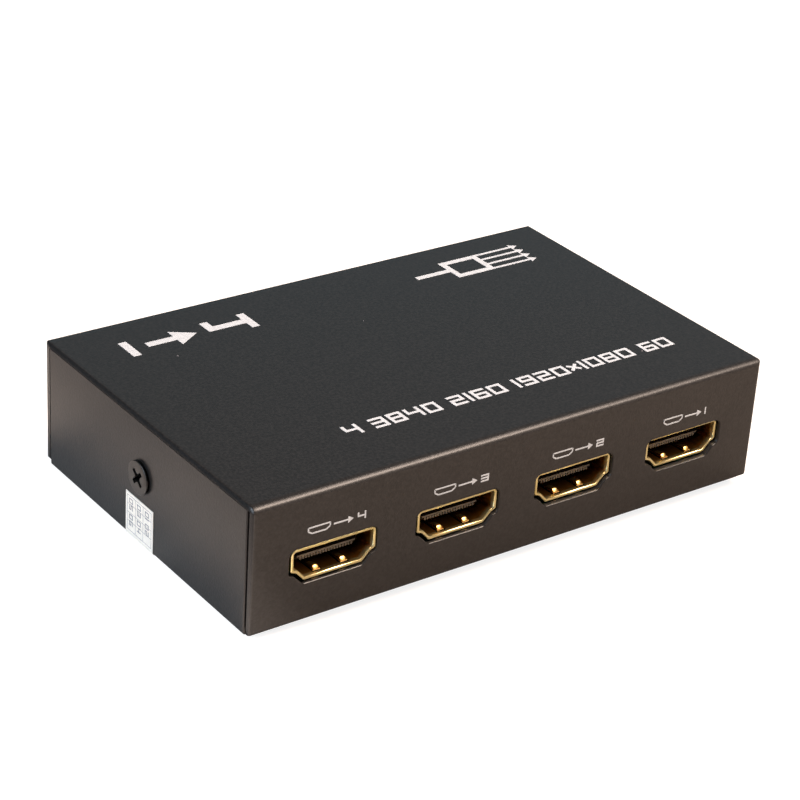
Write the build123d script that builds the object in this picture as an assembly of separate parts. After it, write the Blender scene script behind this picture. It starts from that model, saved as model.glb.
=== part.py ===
from build123d import *
import os

# Housing: a cover and a tray, folded sharply along milled grooves from painted sheet steel.
housing_width = 97.0
housing_depth = 61.3
housing_height = 22.1
sheet = 1.0
bend_radius = 0.5
bend_inside_radius = 0.2
edge_round = 0.2
seam_gap = 0.1
wall_end_gap = 0.7
flange_lift = 0.8
flange_corner_radius = 0.4
plate_corner_radius = 0.4
cut_overrun = 1.0

# Rubber feet stuck under the tray.
foot_height = 1.2
foot_diameter = 8.0
foot_inset = 9.0
foot_round = 0.3

# Countersunk side screws and the cover's welded brackets.
screw_height = 11.8
screw_behind_middle = 0.8
screw_head_diameter = 5.6
screw_head_proud = 0.6
screw_head_land = 0.25
screw_shank_diameter = 3.0
screw_length = 6.0
screw_clearance = 0.05
cross_width = 0.75
cross_length = 3.2
cross_turn_degrees = 45
cross_depth = 1.2
cross_core_diameter = 1.5
bracket_width = 12.0
bracket_leaf = 7.0
bracket_below_screw = 3.6

# Inspection label folded round the tray's left lower bend.
label_width = 8.2
label_height = 7.6
label_under = 5.0
label_paper = 0.1
label_behind_middle = 0.9

# Video receptacles: size of the shell's mouth and of what it holds.
port_count = 4
port_left_margin = 6.9
port_right_margin = 7.4
port_height = 10.15
first_port_recess = 0.2
port_recess_step = 0.15
shell_width = 15.0
shell_height = 5.55
shell_wall = 0.5
shell_length = 11.0
shell_side_height = 3.75
shoulder_width = 0.95
shoulder_drop = 0.3
shell_floor_width = 10.3
shell_top_radius = 0.9
shell_low_radius = 0.5
cutout_clearance = 0.3
cutout_drop = 0.2
cutout_shift = 0.15
spring_spacing = 4.8
spring_width = 1.2
spring_slot_gap = 0.25
spring_metal = 0.25
spring_root_depth = 6.6
spring_crest_depth = 1.3
spring_crest_length = 0.5
spring_tip_depth = 0.8
spring_lift = 0.3
spring_tip_drop = 0.25
leg_width = 1.4
leg_metal = 0.4
leg_first_depth = 3.4
leg_spacing = 5.6
leg_below_board = 0.7
leg_slot_gap = 0.2
tongue_width = 10.7
tongue_thickness = 1.3
tongue_depth = 2.2
tongue_nose_chamfer = 0.4
insulator_block = 4.5
insulator_tail = 0.8
insulator_clearance = 0.05
contact_pitch = 1.0
contact_width = 0.4
contact_metal = 0.2
contact_proud = 0.05
contact_start = 0.5
contact_foot = 0.8
upper_contact_count = 10
lower_contact_count = 9

# Input receptacle on the back.
input_right_margin = 9.0
input_recess = 0.4

# Circuit board, its standoffs and its screws.
board_thickness = 1.6
board_side_gap = 2.0
board_end_gap = 1.2
board_corner_radius = 1.5
standoff_diameter = 6.0
board_screw_diameter = 3.0
board_screw_head = 5.4
board_screw_head_height = 1.8
board_screw_length = 4.2
board_screw_clearance = 0.1
board_screw_gap = 1.5

# Power socket for a 5.5 mm barrel plug.
jack_left_margin = 6.5
jack_width = 9.0
jack_height = 11.0
jack_length = 14.2
jack_collar = 3.4
jack_axis_height = 6.4
jack_bore = 6.2
jack_bore_depth = 10.5
jack_pin_diameter = 2.0
jack_pin_recess = 1.2
jack_back_round = 2.0
jack_panel_hole = 8.0
jack_panel_gap = 0.1
jack_strip_width = 2.4
jack_strip_metal = 0.3
jack_leg_length = 3.0
jack_leg_inset = 1.6

# Slide switch for the power.
switch_jack_gap = 4.5
switch_width = 10.6
switch_height = 5.4
switch_length = 6.2
switch_wall = 0.4
switch_base = 2.6
switch_travel = 2.6
slide_clearance = 0.25
slider_block_length = 2.6
knob_width = 3.2
knob_height = 2.4
knob_reach = 1.2
knob_round = 0.3
switch_panel_gap = 0.1
switch_slot_gap = 0.4
switch_pin_pitch = 2.5
switch_pin_width = 0.7
switch_pin_metal = 0.4
switch_pin_length = 2.6
switch_pin_inset = 1.0

# Status lamps in a holder behind the back flange.
lamp_count = 5
lamp_pitch = 5.0
lamp_diameter = 3.0
lamp_length = 5.2
dome_share = 0.45
lamp_recess = 0.2
lamp_hole_gap = 0.15
lamp_panel_gap = 0.1
lamp_axis_height = 3.0
lamp_holder_height = 5.2
lamp_back_proud = 0.3
lamp_holder_end = 0.8
lamp_lead = 0.45
lamp_lead_spacing = 1.27
lamp_lead_rear = 0.7

# Main chip, heat sink and smaller parts on the board.
chip_size = 14.0
chip_thickness = 1.4
chip_stand = 0.1
chip_lead_count = 16
chip_lead_pitch = 0.8
chip_lead_width = 0.35
chip_lead_reach = 1.0
chip_lead_metal = 0.15
chip_lead_height = 0.7
pad_thickness = 0.5
sink_size = 16.0
sink_base = 1.5
sink_fin_height = 6.0
sink_fin = 0.8
sink_fin_count = 7
chip_place_shares = (0.0, -0.03)
regulator_size = (6.5, 3.5, 1.6)
regulator_tab = (3.0, 1.6, 0.5)
regulator_lead = (0.7, 1.7, 0.3)
regulator_lead_pitch = 2.3
regulator_place_shares = ((-0.36, 0.1), (-0.25, 0.1))
coil_size = 5.2
coil_height = 3.0
coil_corner = 1.0
coil_place_shares = ((-0.36, -0.04), (-0.27, -0.04))
can_diameter = 6.3
can_height = 5.4
can_base_size = 6.6
can_base_height = 1.2
can_groove_height = 1.0
can_groove_depth = 0.3
can_place_shares = ((-0.19, -0.04), (-0.15, 0.14), (0.17, 0.1))
crystal_size = (11.0, 4.6)
crystal_height = 3.4
crystal_flange = 0.5
crystal_place_shares = (0.19, -0.04)
memory_size = (5.0, 4.0, 1.5)
memory_pin_count = 4
memory_pin_pitch = 1.27
memory_pin = (0.4, 1.0, 0.25)
memory_place_shares = ((0.31, -0.06), (0.41, -0.06), (0.26, 0.12), (0.09, 0.215))
guard_size = (2.5, 1.0, 0.6)
guard_spacing = 3.4
guard_gap = 0.9
chip_part_size = (0.6, 1.1, 0.5)
chip_part_pitch = 1.3
chip_part_count = 8
chip_part_gap = 0.8
resistor_size = (0.9, 1.6, 0.45)
resistor_pitch = 1.8
resistor_count = 6
resistor_row_shares = ((-0.42, -0.13), (-0.03, 0.175), (0.31, 0.04))
fuse_size = (4.5, 3.2, 1.0)
fuse_place_shares = (-0.445, -0.04)

# Places that follow from the sizes above.
half_width = housing_width / 2
base_z = foot_height
top_z = base_z + housing_height
tray_floor_z = base_z + sheet
front_y = -(housing_depth + knob_reach) / 2
rear_y = front_y + housing_depth
middle_y = (front_y + rear_y) / 2
port_z = base_z + port_height
board_top_z = port_z - shell_height / 2
board_low_z = board_top_z - board_thickness
board_width = housing_width - 2 * (sheet + board_side_gap)
board_front_y = front_y + sheet + board_end_gap
board_rear_y = rear_y - sheet - board_end_gap
board_depth = board_rear_y - board_front_y
board_middle_y = (board_front_y + board_rear_y) / 2
screw_z = base_z + screw_height
screw_y = middle_y + screw_behind_middle
screw_head_cone = (screw_head_diameter - screw_shank_diameter) / 2
first_port_x = -half_width + port_left_margin + shell_width / 2
port_pitch = (housing_width - port_left_margin - port_right_margin - shell_width) / (port_count - 1)
port_places = [first_port_x + i * port_pitch for i in range(port_count)]
port_recesses = [first_port_recess + i * port_recess_step for i in range(port_count)]
port_reach = shell_length + insulator_tail + contact_metal + contact_foot
input_x = half_width - input_right_margin - shell_width / 2
jack_x = -half_width + jack_left_margin + jack_width / 2
switch_x = jack_x + jack_width / 2 + switch_jack_gap + switch_width / 2
lamp_row_x = (switch_x + switch_width / 2 + input_x - shell_width / 2) / 2
screw_spread = board_screw_gap + board_screw_head / 2
front_screw_y = front_y + port_recesses[-1] + port_reach + screw_spread
rear_screw_y = rear_y - sheet - switch_panel_gap - switch_length - screw_spread
board_screw_points = [
    (port_places[0] + port_pitch / 2, front_screw_y), (port_places[-1] - port_pitch / 2, front_screw_y),
    (jack_x + jack_width / 2 + screw_spread, rear_screw_y),
    (input_x - shell_width / 2 - screw_spread, rear_screw_y),
]

LOW = (Align.CENTER, Align.CENTER, Align.MIN)
HIGH = (Align.CENTER, Align.CENTER, Align.MAX)


def block(x0, x1, y0, y1, z0, z1):
    """A box between two corners."""
    return Pos(x0, y0, z0) * Box(x1 - x0, y1 - y0, z1 - z0, align=(Align.MIN, Align.MIN, Align.MIN))


def yz_profile(points, width):
    """A closed outline of (y, z) points, made solid to both sides of x = 0."""
    outline = make_face(Polyline([(0, y, z) for y, z in points], close=True))
    return extrude(outline, amount=width / 2, dir=(1, 0, 0), both=True)


def along_y(diameter, y0, y1):
    """A round bar on the Y axis."""
    return Pos(0, y0, 0) * Rot(-90, 0, 0) * Cylinder(diameter / 2, y1 - y0, align=LOW)


def board_point(shares):
    """A place on the board's top face, from shares of its width and depth."""
    return shares[0] * board_width, board_middle_y + shares[1] * board_depth


def group(solids):
    """Separate solids kept together as one node."""
    return Compound(children=[s for item in solids for s in item.solids()])


def shell_outline(grow=0):
    """The receptacle's D-like outline: square top corners, stepped lower corners."""
    side_x = shell_width / 2
    top = shell_height / 2
    low = -shell_height / 2
    shoulder = top - shell_side_height
    neck_x = side_x - shoulder_width
    right = [(shell_floor_width / 2, low), (neck_x, shoulder - shoulder_drop),
             (side_x, shoulder), (side_x, top)]
    left = [(-x, z) for x, z in reversed(right)]
    face = make_face(Polyline([(x, 0, z) for x, z in right + left], close=True))
    low_corners = face.vertices().sort_by(Axis.Z)[:-2]
    face = fillet(low_corners, shell_low_radius)
    face = fillet(face.vertices().sort_by(Axis.Z)[-2:], shell_top_radius)
    if grow != 0:
        face = offset(face, amount=grow)
    return face


def shell_prism(grow, y0, y1):
    """The outline, grown or shrunk, as a solid from y0 to y1."""
    return Pos(0, y0, 0) * extrude(shell_outline(grow), amount=y1 - y0, dir=(0, 1, 0))


def leg_boxes(gap=0):
    """The shell's four board legs, or their slots when a gap is given."""
    boxes = []
    for side in (-1, 1):
        outer = side * (shell_width / 2 + gap)
        inner = side * (shell_width / 2 - leg_metal - gap)
        for i in range(2):
            y0 = leg_first_depth + i * leg_spacing
            low = -shell_height / 2 - board_thickness - leg_below_board
            high = shell_height / 2 - shell_side_height + leg_metal
            boxes.append(block(min(inner, outer), max(inner, outer),
                               y0 - gap, y0 + leg_width + gap, low, high))
    return boxes


def port_shell():
    """Plated receptacle shell, its mouth at y = 0, with two sprung floor tongues and four board legs."""
    bore = shell_prism(-shell_wall, -cut_overrun, shell_length + cut_overrun)
    shell = shell_prism(0, 0, shell_length) - bore
    floor_z = -shell_height / 2 + shell_wall
    crest_z = floor_z + spring_lift
    crest_back = spring_crest_depth + spring_crest_length
    upper = [
        (spring_root_depth + spring_metal, floor_z),
        (spring_root_depth, floor_z),
        (crest_back, crest_z),
        (spring_crest_depth, crest_z),
        (spring_tip_depth, crest_z - spring_tip_drop),
    ]
    lower = [(y, z - spring_metal) for y, z in reversed(upper)]
    for side in (-1, 1):
        x = side * spring_spacing / 2
        slot_half = spring_width / 2 + spring_slot_gap
        slot_front = spring_tip_depth - spring_slot_gap
        shell -= block(x - slot_half, x + slot_half, slot_front, spring_root_depth,
                       floor_z - shell_wall - cut_overrun, floor_z + shell_wall)
        shell += Pos(x, 0, 0) * yz_profile(upper + lower, spring_width)
    for leg in leg_boxes():
        shell += leg
    return shell


def contact_bars():
    """Both rows of contacts: along the tongue, out of the block's back and down to the board."""
    back = shell_length + insulator_tail
    board = -shell_height / 2
    bars = []
    for count, side in ((upper_contact_count, 1), (lower_contact_count, -1)):
        outer = side * (tongue_thickness / 2 + contact_proud)
        inner = outer - side * contact_metal
        high, low = max(outer, inner), min(outer, inner)
        start = tongue_depth + contact_start
        points = [
            (start, low), (back, low), (back, board), (back + contact_metal + contact_foot, board),
            (back + contact_metal + contact_foot, board + contact_metal),
            (back + contact_metal, board + contact_metal),
            (back + contact_metal, high), (start, high),
        ]
        for i in range(count):
            x = (i - (count - 1) / 2) * contact_pitch
            bars.append(Pos(x, 0, 0) * yz_profile(points, contact_width))
    return bars


def port_insulator(bars):
    """Moulded block that closes the shell's back and carries the contact tongue."""
    body = shell_prism(-shell_wall - insulator_clearance, shell_length - insulator_block,
                       shell_length + insulator_tail)
    half = tongue_thickness / 2
    nose = tongue_nose_chamfer
    outline = [
        (shell_length - insulator_block, half), (tongue_depth + nose, half), (tongue_depth, half - nose),
        (tongue_depth, -half + nose), (tongue_depth + nose, -half), (shell_length - insulator_block, -half),
    ]
    body += yz_profile(outline, tongue_width)
    for bar in bars:
        body -= bar
    return body


def round_cutouts(solid, face):
    """Softens the outer rim of each cut-out in a flange's face."""
    return solid.fillet(edge_round, [edge for wire in face.inner_wires() for edge in wire.edges()])


def top_cover():
    """Folded cover: the top with a front and a back flange, pierced for the sockets."""
    low = base_z + flange_lift
    body = block(-half_width, half_width, front_y, rear_y, low, top_z)
    body = fillet(body.edges().filter_by(Axis.X).group_by(Axis.Z)[-1], bend_radius)
    body = fillet(body.edges().filter_by(Axis.Y).group_by(Axis.Z)[0], flange_corner_radius)
    ends = body.faces().sort_by(Axis.X)
    rims = [edge for end in (ends[0], ends[-1]) for edge in end.edges().sort_by(Axis.Z)[1:]]
    body = fillet(rims, edge_round)
    inside = block(-half_width - cut_overrun, half_width + cut_overrun, front_y + sheet, rear_y - sheet,
                   low - cut_overrun, top_z - sheet)
    inside = fillet(inside.edges().filter_by(Axis.X).group_by(Axis.Z)[-1], bend_inside_radius)
    body -= inside
    cut = shell_prism(cutout_clearance, -cut_overrun, sheet + cut_overrun)
    for x in port_places:
        body -= Pos(x - cutout_shift, front_y, port_z - cutout_drop) * cut
    body -= Pos(input_x, rear_y, port_z) * Rot(0, 0, 180) * cut
    through = along_y(jack_panel_hole, -cut_overrun, sheet + cut_overrun)
    body -= Pos(jack_x, rear_y - sheet, board_top_z + jack_axis_height) * through
    lamp_hole = along_y(lamp_diameter + 2 * lamp_hole_gap, -cut_overrun, sheet + cut_overrun)
    for x in lamp_places():
        body -= Pos(x, rear_y - sheet, board_top_z + lamp_axis_height) * lamp_hole
    slot_half = (knob_width + switch_travel) / 2 + switch_slot_gap
    slot_z = board_top_z + switch_height / 2
    slot_rise = knob_height / 2 + switch_slot_gap
    slot = block(switch_x - slot_half, switch_x + slot_half, rear_y - sheet - cut_overrun,
                 rear_y + cut_overrun, slot_z - slot_rise, slot_z + slot_rise)
    slot = fillet(slot.edges().filter_by(Axis.Y), switch_slot_gap)
    body -= slot
    body = round_cutouts(body, body.faces().sort_by(Axis.Y)[0])
    return round_cutouts(body, body.faces().sort_by(Axis.Y)[-1])


def screw_seat(grow=0):
    """The side screw's own outline turned solid: head up at z = 0, pointing down."""
    head = screw_head_diameter / 2 + grow
    shank = screw_shank_diameter / 2 + grow
    points = [
        (0, 0), (head, 0), (head, -screw_head_land), (shank, -screw_head_land - screw_head_cone),
        (shank, -screw_length - grow), (0, -screw_length - grow),
    ]
    face = make_face(Polyline([(x, 0, z) for x, z in points], close=True))
    return revolve(face, axis=Axis.Z)


def side_screw():
    """Black countersunk screw with a cross recess; its head stands a little proud of the wall."""
    body = screw_seat()
    body = fillet(body.edges().group_by(Axis.Z)[-1], screw_head_land / 2)
    cross = Cone(cross_width / 2, cross_core_diameter / 2, cross_depth + cross_width, align=HIGH)
    for length, width in ((cross_length, cross_width), (cross_width, cross_length)):
        cross += Box(length, width, cross_depth, align=HIGH)
    return body - Rot(0, 0, cross_turn_degrees) * cross


def side_place(side):
    """Where the side screw's head face lies: -1 is the left wall, 1 the right wall."""
    return Pos(side * (half_width + screw_head_proud), screw_y, screw_z) * Rot(0, side * 90, 0)


def bottom_tray():
    """Folded tray: the bottom plate with a left and a right wall, each with a countersunk hole."""
    wall_y0 = front_y + sheet + wall_end_gap
    wall_y1 = rear_y - sheet - seam_gap
    wall_top = top_z - sheet - seam_gap
    body = block(-half_width, half_width, wall_y0, wall_y1, base_z, wall_top)
    body = fillet(body.edges().filter_by(Axis.Y).group_by(Axis.Z)[0], bend_radius)
    body = fillet(body.edges().filter_by(Axis.Z), edge_round)
    inside = block(-half_width + sheet, half_width - sheet, wall_y0 - cut_overrun, wall_y1 + cut_overrun,
                   tray_floor_z, wall_top + cut_overrun)
    inside = fillet(inside.edges().filter_by(Axis.Y).group_by(Axis.Z)[0], bend_inside_radius)
    body -= inside
    plate_half = half_width - bend_radius
    plate = block(-plate_half, plate_half, front_y + sheet + seam_gap, wall_y1, base_z, tray_floor_z)
    plate = fillet(plate.edges().filter_by(Axis.Z).group_by(Axis.Y)[0], plate_corner_radius)
    body += plate
    for side in (-1, 1):
        body -= side_place(side) * screw_seat(screw_clearance)
    return body


def cover_bracket(side):
    """Angle welded under the cover's top; the side screw is threaded into its hanging leaf."""
    outer = half_width - sheet
    y0 = screw_y - bracket_width / 2
    y1 = screw_y + bracket_width / 2
    leaf_low = screw_z - bracket_below_screw
    body = block(outer - sheet, outer, y0, y1, leaf_low, top_z - sheet)
    body += block(outer - bracket_leaf, outer, y0, y1, top_z - 2 * sheet, top_z - sheet)
    if side < 0:
        body = mirror(body, Plane.YZ)
    return body - side_place(side) * screw_seat(screw_clearance)


def foot(x, y):
    """Round rubber foot with a softened lower rim."""
    body = Pos(x, y, 0) * Cylinder(foot_diameter / 2, foot_height, align=LOW)
    return fillet(body.edges().group_by(Axis.Z)[0], foot_round)


def label():
    """Paper label on the left wall, folded round the bend and on under the tray."""
    middle = middle_y + label_behind_middle
    y0 = middle - label_width / 2
    y1 = middle + label_width / 2
    outer = block(-half_width - label_paper, half_width, y0, y1,
                  base_z - label_paper, base_z + label_height)
    outer_fold = outer.edges().filter_by(Axis.Y).sort_by(Axis.X)[:2].sort_by(Axis.Z)[:1]
    outer = fillet(outer_fold, bend_radius + label_paper)
    inner = block(-half_width, half_width + cut_overrun, y0 - cut_overrun, y1 + cut_overrun, base_z, top_z)
    inner = fillet(inner.edges().filter_by(Axis.Y).sort_by(Axis.X)[:2].sort_by(Axis.Z)[:1], bend_radius)
    rest = block(-half_width + bend_radius + label_under, half_width + cut_overrun, y0 - cut_overrun,
                 y1 + cut_overrun, base_z - cut_overrun, top_z)
    return outer - inner - rest


def main_board():
    """Circuit board with screw holes and slots for the legs of what is soldered to it."""
    body = block(-board_width / 2, board_width / 2, board_front_y, board_rear_y, board_low_z, board_top_z)
    body = fillet(body.edges().filter_by(Axis.Z), board_corner_radius)
    hole = Cylinder(board_screw_diameter / 2 + board_screw_clearance, board_thickness + 2 * cut_overrun)
    for x, y in board_screw_points:
        body -= Pos(x, y, board_low_z + board_thickness / 2) * hole
    slots = leg_boxes(leg_slot_gap)
    for place in port_locations():
        for slot in slots:
            body -= place * slot
    for leg in jack_legs(leg_slot_gap) + switch_pins(leg_slot_gap) + lamp_leads(leg_slot_gap):
        body -= leg
    return body


def port_locations():
    """Where each receptacle sits: the outputs on the front, then the input on the back."""
    places = [Pos(x, front_y + recess, port_z) for x, recess in zip(port_places, port_recesses)]
    return places + [Pos(input_x, rear_y - input_recess, port_z) * Rot(0, 0, 180)]


def standoffs():
    """Round steel standoffs riveted to the tray, bored for the board screws."""
    made = []
    for x, y in board_screw_points:
        height = board_low_z - tray_floor_z
        post = Cylinder(standoff_diameter / 2, height, align=LOW)
        post -= Cylinder(board_screw_diameter / 2 + screw_clearance, height, align=LOW)
        made.append(Pos(x, y, tray_floor_z) * post)
    return group(made)


def board_screws():
    """Pan-head screws through the board into the standoffs."""
    made = []
    for x, y in board_screw_points:
        head = Pos(x, y, board_top_z) * Cylinder(board_screw_head / 2, board_screw_head_height, align=LOW)
        head = fillet(head.edges().group_by(Axis.Z)[-1], board_screw_head_height / 3)
        shank = Pos(x, y, board_top_z) * Cylinder(board_screw_diameter / 2, board_screw_length, align=HIGH)
        recess_top = board_top_z + board_screw_head_height
        cross = Pos(x, y, recess_top) * Box(cross_length, cross_width, cross_depth, align=HIGH)
        cross += Pos(x, y, recess_top) * Box(cross_width, cross_length, cross_depth, align=HIGH)
        made.append(head + shank - cross)
    return group(made)


def jack_axis():
    """Centre of the power socket's mouth, looking out of the back."""
    y = rear_y - sheet - jack_panel_gap
    return Pos(jack_x, y, board_top_z + jack_axis_height) * Rot(0, 0, 180)


def jack_body():
    """Moulded socket body: a square collar, a rounded barrel behind it and a stepped bore."""
    low = -jack_axis_height
    collar = block(-jack_width / 2, jack_width / 2, 0, jack_collar, low, low + jack_height)
    rear_top = jack_width / 2
    barrel = block(-jack_width / 2, jack_width / 2, jack_collar, jack_length, low, rear_top)
    barrel = fillet(barrel.edges().filter_by(Axis.Y).group_by(Axis.Z)[-1], jack_back_round)
    body = collar + barrel
    body -= along_y(jack_bore, -cut_overrun, jack_bore_depth)
    body -= along_y(jack_pin_diameter, 0, jack_length + cut_overrun)
    return jack_axis() * (body - jack_strip())


def jack_strip():
    """The sleeve contact: a flat strip let into the bore's underside and out through the back."""
    low = -jack_bore / 2 - jack_strip_metal
    return block(-jack_strip_width / 2, jack_strip_width / 2, jack_collar, jack_length,
                 low, low + jack_strip_metal)


def jack_pin():
    """The socket's centre pin with a rounded tip, held in the back wall."""
    body = along_y(jack_pin_diameter, jack_pin_recess, jack_length)
    return jack_axis() * fillet(body.edges().group_by(Axis.Y)[0], jack_pin_diameter / 4)


def jack_legs(gap=0):
    """The power socket's legs, or their board slots when a gap is given."""
    half = jack_strip_width / 2 + gap
    metal = jack_strip_metal / 2 + gap
    rear = jack_length + jack_strip_metal / 2
    top = -jack_axis_height
    pieces = [block(-half, half, rear - metal, rear + metal, top - jack_leg_length, top)]
    if gap == 0:
        pieces = [block(-half, half, rear - metal, rear + metal, top - jack_leg_length, -jack_bore / 2)]
    x = jack_width / 2 - jack_leg_inset
    y = jack_collar + jack_leg_inset
    pieces.append(block(x - metal, x + metal, y - half, y + half, top - jack_leg_length, top))
    return [jack_axis() * piece for piece in pieces]


def jack_contacts():
    """Sleeve strip with its rear leg, and the separate switched leg."""
    legs = jack_legs()
    strip = jack_axis() * jack_strip()
    return group([strip + legs[0], legs[1]])


def switch_axis():
    """Centre of the slide switch's mouth, looking out of the back."""
    y = rear_y - sheet - switch_panel_gap
    return Pos(switch_x, y, board_top_z + switch_height / 2) * Rot(0, 0, 180)


def switch_frame():
    """Pressed steel frame: front, top and ends, open below and behind, slotted for the knob."""
    half = switch_width / 2
    rise = switch_height / 2
    body = block(-half, half, 0, switch_length, -rise, rise)
    body = fillet(body.edges().filter_by(Axis.Y).group_by(Axis.Z)[-1], switch_wall)
    body -= block(-half + switch_wall, half - switch_wall, switch_wall, switch_length + cut_overrun,
                  -rise - cut_overrun, rise - switch_wall)
    slot = (knob_width + switch_travel) / 2 + slide_clearance
    body -= block(-slot, slot, -cut_overrun, switch_wall + cut_overrun,
                  -knob_height / 2 - slide_clearance, knob_height / 2 + slide_clearance)
    return switch_axis() * body


def switch_base_block():
    """Moulded base that closes the frame's back and carries the pins."""
    half = switch_width / 2 - switch_wall
    rise = switch_height / 2
    body = block(-half, half, switch_length - switch_base, switch_length, -rise, rise - switch_wall)
    floor_top = -rise + switch_wall
    body += block(-half, half, switch_wall, switch_length, -rise, floor_top)
    return switch_axis() * body


def switch_slider():
    """Sliding block with its knob, at its left stop seen from behind the object."""
    inner_half = switch_width / 2 - switch_wall
    block_half = inner_half - slide_clearance - switch_travel / 2
    y0 = switch_wall + slide_clearance
    y1 = min(y0 + slider_block_length, switch_length - switch_base - slide_clearance)
    rise = switch_height / 2 - switch_wall - slide_clearance
    body = block(-block_half, block_half, y0, y1, -rise, rise)
    reach = sheet + switch_panel_gap + knob_reach
    knob = block(-knob_width / 2, knob_width / 2, -reach, y0, -knob_height / 2, knob_height / 2)
    knob = fillet(knob.edges().group_by(Axis.Y)[0], knob_round)
    return Pos(-switch_travel / 2, 0, 0) * switch_axis() * (body + knob)


def switch_pins(gap=0):
    """The switch's three pins, or their board holes when a gap is given."""
    pieces = []
    low = -switch_height / 2
    y = switch_length - switch_pin_inset
    for i in range(-1, 2):
        x = i * switch_pin_pitch
        piece = block(x - switch_pin_width / 2 - gap, x + switch_pin_width / 2 + gap,
                      y - switch_pin_metal / 2 - gap, y + switch_pin_metal / 2 + gap,
                      low - switch_pin_length, low)
        pieces.append(switch_axis() * piece)
    return pieces


def lamp_places():
    """The lamps' places along the back."""
    return [lamp_row_x + (i - (lamp_count - 1) / 2) * lamp_pitch for i in range(lamp_count)]


def lamp_bodies():
    """Domed lamps lying in the holder, their domes just behind the back face."""
    made = []
    for x in lamp_places():
        body = along_y(lamp_diameter, 0, lamp_length)
        body = fillet(body.edges().group_by(Axis.Y)[0], lamp_diameter * dome_share)
        made.append(Pos(x, rear_y - lamp_recess, board_top_z + lamp_axis_height) * Rot(0, 0, 180) * body)
    return made


def lamp_holder():
    """Moulded holder that stands on the board and keeps the lamps in line."""
    x0 = lamp_places()[0] - lamp_diameter / 2 - lamp_holder_end
    x1 = lamp_places()[-1] + lamp_diameter / 2 + lamp_holder_end
    y0 = rear_y - lamp_recess - lamp_length + lamp_back_proud
    y1 = rear_y - sheet - lamp_panel_gap
    body = block(x0, x1, y0, y1, board_top_z, board_top_z + lamp_holder_height)
    for lamp in lamp_bodies():
        body -= lamp
    return body


def lamp_leads(gap=0):
    """Two bent wire leads to each lamp, or their board holes when a gap is given."""
    pieces = []
    rear = rear_y - lamp_recess - lamp_length
    drop = rear - lamp_lead_rear
    half = lamp_lead / 2 + gap
    axis = board_top_z + lamp_axis_height
    for x in lamp_places():
        for side in (-1, 1):
            lead_x = x + side * lamp_lead_spacing / 2
            down = block(lead_x - half, lead_x + half, drop - half, drop + half,
                         board_low_z - lamp_lead, axis + lamp_lead / 2)
            if gap == 0:
                down += block(lead_x - half, lead_x + half, drop, rear, axis - half, axis + half)
            pieces.append(down)
    return pieces


def main_chip():
    """Square flat-pack chip in the middle of the board."""
    x, y = board_point(chip_place_shares)
    body = Pos(x, y, board_top_z + chip_stand) * Box(chip_size, chip_size, chip_thickness, align=LOW)
    return chamfer(body.edges().filter_by(Axis.Z), chip_lead_metal)


def main_chip_leads():
    """Gull-wing leads along all four sides of the chip."""
    x, y = board_point(chip_place_shares)
    reach = chip_size / 2
    points = [
        (reach, chip_lead_height), (reach, chip_lead_height - chip_lead_metal),
        (reach + chip_lead_reach / 3, chip_lead_height - chip_lead_metal), (reach + chip_lead_reach / 3, 0),
        (reach + chip_lead_reach, 0), (reach + chip_lead_reach, chip_lead_metal),
        (reach + chip_lead_reach / 3 + chip_lead_metal, chip_lead_metal),
        (reach + chip_lead_reach / 3 + chip_lead_metal, chip_lead_height),
    ]
    lead = yz_profile(points, chip_lead_width)
    made = []
    for turn in range(4):
        for i in range(chip_lead_count):
            along = (i - (chip_lead_count - 1) / 2) * chip_lead_pitch
            made.append(Pos(x, y, board_top_z) * Rot(0, 0, 90 * turn) * Pos(along, 0, 0) * lead)
    return group(made)


def thermal_pad():
    """Soft pad between the chip and its heat sink."""
    x, y = board_point(chip_place_shares)
    place = Pos(x, y, board_top_z + chip_stand + chip_thickness)
    return place * Box(chip_size, chip_size, pad_thickness, align=LOW)


def heat_sink():
    """Extruded aluminium heat sink with straight fins."""
    x, y = board_point(chip_place_shares)
    z = board_top_z + chip_stand + chip_thickness + pad_thickness
    body = Pos(x, y, z) * Box(sink_size, sink_size, sink_base, align=LOW)
    gap = (sink_size - sink_fin_count * sink_fin) / (sink_fin_count - 1)
    for i in range(sink_fin_count):
        along = (i - (sink_fin_count - 1) / 2) * (sink_fin + gap)
        body += Pos(x + along, y, z + sink_base) * Box(sink_fin, sink_size, sink_fin_height, align=LOW)
    return body


def regulators():
    """Voltage regulators: moulded bodies standing on the board."""
    made = []
    for shares in regulator_place_shares:
        x, y = board_point(shares)
        made.append(Pos(x, y, board_top_z) * Box(*regulator_size, align=LOW))
    return group(made)


def regulator_leads():
    """Each regulator's wide tab and three leads."""
    made = []
    depth = regulator_size[1]
    for shares in regulator_place_shares:
        x, y = board_point(shares)
        tab_y = y + (depth + regulator_tab[1]) / 2
        made.append(Pos(x, tab_y, board_top_z) * Box(*regulator_tab, align=LOW))
        lead_y = y - (depth + regulator_lead[1]) / 2
        for i in range(-1, 2):
            place = Pos(x + i * regulator_lead_pitch, lead_y, board_top_z)
            made.append(place * Box(*regulator_lead, align=LOW))
    return group(made)


def coils():
    """Moulded power inductors with cut corners."""
    made = []
    for shares in coil_place_shares:
        x, y = board_point(shares)
        body = Pos(x, y, board_top_z) * Box(coil_size, coil_size, coil_height, align=LOW)
        made.append(chamfer(body.edges().filter_by(Axis.Z), coil_corner))
    return group(made)


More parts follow.
